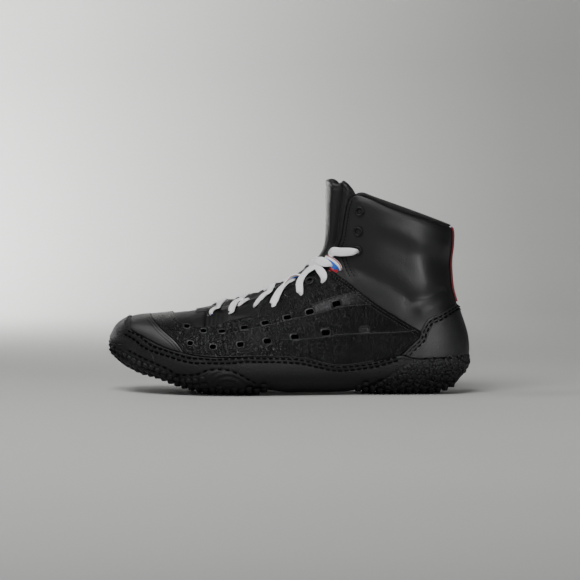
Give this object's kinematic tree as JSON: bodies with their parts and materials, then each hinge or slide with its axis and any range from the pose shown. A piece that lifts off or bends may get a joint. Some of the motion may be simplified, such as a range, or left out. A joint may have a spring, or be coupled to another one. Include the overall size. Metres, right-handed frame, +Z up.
{
  "type": "wrestling shoe",
  "caption": "Left high-top wrestling shoe in black leather: hollow upper, wrapped studded rubber sole, padded tongue, open collar and flat laces crossed over the throat.",
  "frame": {"origin": "on the floor under the middle of the shoe", "axes": "-X to the toe, +X to the heel, -Y to the outer side of the foot, +Z up"},
  "size_m": [0.2934, 0.1022, 0.1741],
  "materials": {
    "sole_rubber": "matt moulded rubber, knobbed tread",
    "insole_fabric": "matt knitted cover",
    "smooth_leather": "smooth, soft sheen",
    "toe_leather": "smooth, soft sheen",
    "grain_leather": "pebbled grain, soft sheen",
    "counter_rubber": "fine textured, matt",
    "webbing": "woven, red with white and blue edges",
    "lining_fabric": "knitted, matt",
    "tongue_leather": "smooth padded, matt",
    "eyelet_metal": "black, satin",
    "lace_fabric": "flat woven, white with red and blue edges"
  },
  "bodies": {
    "root": {"outsole": "sole_rubber", "insole": "insole_fabric", "upper": "smooth_leather", "toe_cap": "toe_leather", "quarters": "grain_leather", "heel_counter": "counter_rubber", "back_strip": "webbing", "collar_lining": "lining_fabric", "tongue": "tongue_leather", "eyelet_quarter_outer": "eyelet_metal", "eyelet_shaft_low_outer": "eyelet_metal", "eyelet_shaft_mid_outer": "eyelet_metal", "eyelet_shaft_top_outer": "eyelet_metal", "eyelet_quarter_inner": "eyelet_metal", "eyelet_shaft_low_inner": "eyelet_metal", "eyelet_shaft_mid_inner": "eyelet_metal", "eyelet_shaft_top_inner": "eyelet_metal", "lace_bar": "lace_fabric", "lace_crossing_1": "lace_fabric", "lace_crossing_2": "lace_fabric", "lace_crossing_3": "lace_fabric", "lace_crossing_4": "lace_fabric"}
  },
  "joints": []
}
